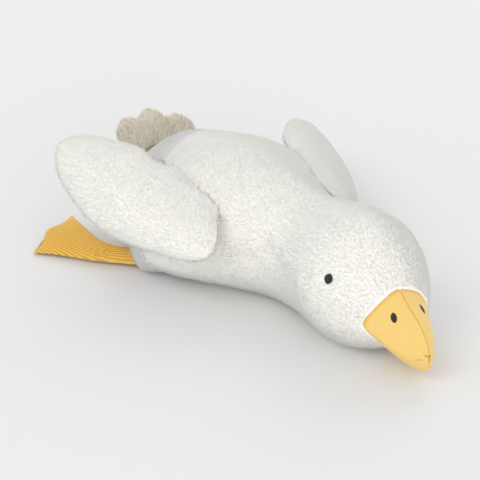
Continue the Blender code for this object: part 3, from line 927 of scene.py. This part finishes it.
bm = bmesh.new()
rings = [[bm.verts.new(p) for p in ring] for ring in beak_rings()]
for near, far in zip(rings, rings[1:]):
    for k in range(BEAK_SIDES):
        bm.faces.new((near[k], near[(k + 1) % BEAK_SIDES], far[(k + 1) % BEAK_SIDES], far[k]))
for ring in (rings[0], rings[-1]):
    hub = bm.verts.new(sum((v.co for v in ring), Vector()) / BEAK_SIDES)
    for k in range(BEAK_SIDES):
        bm.faces.new((ring[k], ring[(k + 1) % BEAK_SIDES], hub))
bmesh.ops.recalc_face_normals(bm, faces=bm.faces)
beak_mesh = bpy.data.meshes.new("beak_felt")
bm.to_mesh(beak_mesh)
bm.free()
beak = linked("beak_felt", beak_mesh)

at = places(beak_mesh)
away = leanings(beak_mesh)
on_top = away[:, 2] > 0.05
groove = np.exp(-((at[:, 0] / RIDGE_SEAM[0]) ** 2)) * on_top
lip_at, lip_width, lip_height = RIDGE_LIPS
lips = np.exp(-(((np.abs(at[:, 0]) - lip_at) / lip_width) ** 2)) * on_top
set_places(beak_mesh, at + away * (lip_height * lips - RIDGE_SEAM[1] * groove)[:, None])
beak_mesh.transform(Matrix.Translation(BEAK_AT) @ Matrix.Rotation(BEAK_TURN, 4, "Z"))

at = places(beak_mesh)
away = leanings(beak_mesh)
# Painted shade along the sunk ridge seam and down in the folds at the tip.
fold_shade = 0.55 * groove
sunk = np.zeros(len(at))
for start, end, width, depth, shade_darkness in FOLDS:
    start, end = np.array(start), np.array(end)
    run = end - start
    share = np.clip((at - start) @ run / (run @ run), 0, 1)
    off = np.linalg.norm(at - start - share[:, None] * run, axis=1)
    near = np.exp(-((off / width) ** 2))
    fold_shade = np.maximum(fold_shade, shade_darkness * near)
    sunk = np.maximum(sunk, depth * near)
# A painted contact shadow round the beak's root, where it is sewn into the face.
from_face = distances(bag_skin, at) / FACE_SEAM_SHADOW
fold_shade = np.maximum(fold_shade, 0.5 * np.exp(-(from_face ** 2)))
set_places(beak_mesh, at - away * sunk[:, None])
beak_mesh.attributes.new("fold_shade", "FLOAT", "POINT").data.foreach_set("value", fold_shade.astype(np.float32))
beak_mesh.shade_smooth()
beak_mesh.materials.append(felt("yellow felt"))
finished(beak, "yellow felt", "beak")

# The eyes and nostrils: ovals of black satin stitch, each a row of threads laid side by side
# over a little padding, so that they stand up in the middle.
THREAD = 0.0009
# Each oval: width, height, rise and point, then how far it leans.
EYE = (0.0104, 0.0130, 0.0014, 0.75)
EYE_LEAN = 0.12
NOSTRIL = (0.0070, 0.0122, 0.0008, 0.6)
NOSTRIL_LEAN = -0.50
BLACK = (0.018, 0.018, 0.018)
black_thread = fibre_finish("black satin stitch", BLACK, 0.1)
shader = black_thread.node_tree.nodes["Principled BSDF"]
shader.inputs["Roughness"].default_value = 0.45
shader.inputs["Specular IOR Level"].default_value = 0.4


def satin_tree():
    """Threads side by side that fill an oval and arch over it: Point is 0.5 for a round oval, more
    for one with pointed ends."""
    tree = bpy.data.node_groups.new("satin stitch", "GeometryNodeTree")
    face = tree.interface
    face.new_socket("Start", in_out="INPUT", socket_type="NodeSocketGeometry")
    for label in ("Width", "Height", "Rise", "Thread", "Point"):
        face.new_socket(label, in_out="INPUT", socket_type="NodeSocketFloat")
    face.new_socket("Threads", in_out="INPUT", socket_type="NodeSocketInt")
    face.new_socket("Fibre", in_out="INPUT", socket_type="NodeSocketMaterial")
    face.new_socket("Stitches", in_out="OUTPUT", socket_type="NodeSocketGeometry")
    nodes, links = tree.nodes, tree.links
    given = nodes.new("NodeGroupInput")
    result = nodes.new("NodeGroupOutput")

    def maths(kind, a, b=None):
        made = nodes.new("ShaderNodeMath")
        made.operation = kind
        for slot, value in ((0, a), (1, b)):
            if isinstance(value, (int, float)):
                made.inputs[slot].default_value = value
            elif value is not None:
                links.new(value, made.inputs[slot])
        return made.outputs[0]

    row = nodes.new("GeometryNodeMeshLine")
    row.mode = "OFFSET"
    links.new(given.outputs["Threads"], row.inputs["Count"])
    index = nodes.new("GeometryNodeInputIndex")
    share = maths("DIVIDE", maths("ADD", index.outputs[0], 0.5), given.outputs["Threads"])
    along = maths("SUBTRACT", maths("MULTIPLY", share, 2.0), 1.0)
    bulge = maths("POWER", maths("SUBTRACT", 1.0, maths("MULTIPLY", along, along)), given.outputs["Point"])
    place = nodes.new("ShaderNodeCombineXYZ")
    links.new(maths("MULTIPLY", maths("MULTIPLY", along, 0.5), given.outputs["Height"]), place.inputs["Y"])
    spread = nodes.new("GeometryNodeSetPosition")
    links.new(row.outputs["Mesh"], spread.inputs["Geometry"])
    links.new(place.outputs["Vector"], spread.inputs["Position"])
    arch = nodes.new("GeometryNodeCurveQuadraticBezier")
    arch.inputs["Resolution"].default_value = 8
    arch.inputs["Start"].default_value = (-0.5, 0, 0)
    arch.inputs["Middle"].default_value = (0, 0, 1.0)
    arch.inputs["End"].default_value = (0.5, 0, 0)
    ring = nodes.new("GeometryNodeCurvePrimitiveCircle")
    ring.inputs["Resolution"].default_value = 6
    links.new(maths("MULTIPLY", given.outputs["Thread"], 0.5), ring.inputs["Radius"])
    stretch = nodes.new("GeometryNodeTransform")
    size = nodes.new("ShaderNodeCombineXYZ")
    links.new(given.outputs["Width"], size.inputs["X"])
    size.inputs["Y"].default_value = 1.0
    links.new(maths("MULTIPLY", given.outputs["Rise"], 2.0), size.inputs["Z"])
    links.new(arch.outputs["Curve"], stretch.inputs["Geometry"])
    links.new(size.outputs["Vector"], stretch.inputs["Scale"])
    tube = nodes.new("GeometryNodeCurveToMesh")
    tube.inputs["Fill Caps"].default_value = True
    links.new(stretch.outputs["Geometry"], tube.inputs["Curve"])
    links.new(ring.outputs["Curve"], tube.inputs["Profile Curve"])
    narrow = nodes.new("ShaderNodeCombineXYZ")
    links.new(bulge, narrow.inputs["X"])
    narrow.inputs["Y"].default_value = 1.0
    links.new(bulge, narrow.inputs["Z"])
    lay = nodes.new("GeometryNodeInstanceOnPoints")
    links.new(spread.outputs["Geometry"], lay.inputs["Points"])
    links.new(tube.outputs["Mesh"], lay.inputs["Instance"])
    links.new(narrow.outputs["Vector"], lay.inputs["Scale"])
    real = nodes.new("GeometryNodeRealizeInstances")
    links.new(lay.outputs["Instances"], real.inputs["Geometry"])
    paint = nodes.new("GeometryNodeSetMaterial")
    links.new(real.outputs["Geometry"], paint.inputs["Geometry"])
    links.new(given.outputs["Fibre"], paint.inputs["Material"])
    links.new(paint.outputs["Geometry"], result.inputs["Stitches"])
    return tree


stitch_tree = satin_tree()
beak_skin = surface(beak_mesh)


def stitched(name, skin, width, height, rise, point, lean, lift):
    """An oval of satin stitch, laid on the skin where its CAD solid is."""
    made = linked(name + "_stitches", bpy.data.meshes.new(name))
    sew = made.modifiers.new("stitch", "NODES")
    sew.node_group = stitch_tree
    given = {
        "Width": width, "Height": height, "Rise": rise, "Thread": THREAD, "Point": point,
        "Threads": round(height / (0.75 * THREAD)), "Fibre": black_thread,
    }
    for socket in stitch_tree.interface.items_tree:
        if socket.in_out == "INPUT" and socket.name in given:
            sew[socket.identifier] = given[socket.name]
    mesh = set_in_mesh(made)
    mesh.shade_smooth()
    middle = places(cad[name].data).mean(axis=0)
    spot, away, _, _ = skin.find_nearest(Vector(middle))
    side = Vector((0, 0, 1)).cross(away).normalized()
    turn = Matrix((side, away.cross(side), away)).transposed().to_4x4() @ Matrix.Rotation(lean, 4, "Z")
    mesh.transform(Matrix.Translation(spot + away * lift) @ turn)
    finished(made, "black satin stitch", name)


for side_name, side in (("right", -1), ("left", 1)):
    stitched("eye_" + side_name, bag_skin, *EYE, EYE_LEAN * side, 0.0008 - 0.0004 * side)
    stitched("nostril_" + side_name, beak_skin, *NOSTRIL, NOSTRIL_LEAN * side, 0.0)
bpy.data.objects.remove(sewn_on)

# The studio: a wide pale floor, soft light from all round, three large soft lamps, and the camera
# where the photograph was taken from.
FLOOR = (0.79, 0.79, 0.79)
HORIZON = 1.15
OVERHEAD = 0.66
LAMPS_AIM = (0, 0, 0.05)
bm = bmesh.new()
bmesh.ops.create_grid(bm, x_segments=1, y_segments=1, size=6.0)
floor_mesh = bpy.data.meshes.new("floor")
bm.to_mesh(floor_mesh)
bm.free()
floor = linked("floor", floor_mesh)
floor_finish = bpy.data.materials.new("pale floor")
floor_finish.use_nodes = True
floor_finish.node_tree.nodes["Principled BSDF"].inputs["Base Color"].default_value = (*FLOOR, 1)
floor_finish.node_tree.nodes["Principled BSDF"].inputs["Roughness"].default_value = 1.0
floor_finish.node_tree.nodes["Principled BSDF"].inputs["Specular IOR Level"].default_value = 0.0
floor_mesh.materials.append(floor_finish)

world = bpy.data.worlds.new("soft light")
bpy.context.scene.world = world
world.use_nodes = True
sky = world.node_tree.nodes
to_sky = world.node_tree.links
facing = sky.new("ShaderNodeTexCoord")
parts = sky.new("ShaderNodeSeparateXYZ")
to_sky.new(facing.outputs["Generated"], parts.inputs["Vector"])
bright = sky.new("ShaderNodeMapRange")
bright.inputs["To Min"].default_value = HORIZON
bright.inputs["To Max"].default_value = OVERHEAD
to_sky.new(parts.outputs["Z"], bright.inputs["Value"])
to_sky.new(bright.outputs["Result"], sky["Background"].inputs["Strength"])
sky["Background"].inputs["Color"].default_value = (1, 1, 1, 1)


def soft_lamp(name, place, aim, size, power):
    lamp = bpy.data.lights.new(name, "AREA")
    lamp.shape = "SQUARE"
    lamp.size = size
    lamp.energy = power
    made = linked(name, lamp)
    made.location = place
    made.rotation_mode = "QUATERNION"
    made.rotation_quaternion = (Vector(aim) - Vector(place)).to_track_quat("-Z", "Y")


soft_lamp("key lamp", (-4.0, 0.4, 4.4), LAMPS_AIM, 3.2, 62)
soft_lamp("fill lamp", (-2.0, -4.8, 0.9), LAMPS_AIM, 3.0, 56)
soft_lamp("far lamp", (3.4, 2.6, 3.2), LAMPS_AIM, 3.0, 56)

camera_data = bpy.data.cameras.new("camera")
camera_data.lens = 117.0
camera_data.sensor_width = 36.0
camera = linked("camera", camera_data)
view_azimuth, view_elevation, view_distance = math.radians(-37.0), math.radians(30.0), 2.0
look_at = Vector((-0.025, -0.018, 0.05))
back = Vector((
    math.sin(view_azimuth) * math.cos(view_elevation),
    -math.cos(view_azimuth) * math.cos(view_elevation),
    math.sin(view_elevation),
))
camera.location = look_at + back * view_distance
camera.rotation_mode = "QUATERNION"
camera.rotation_quaternion = (-back).to_track_quat("-Z", "Y")
bpy.context.scene.camera = camera
bpy.context.scene.view_settings.view_transform = "Standard"
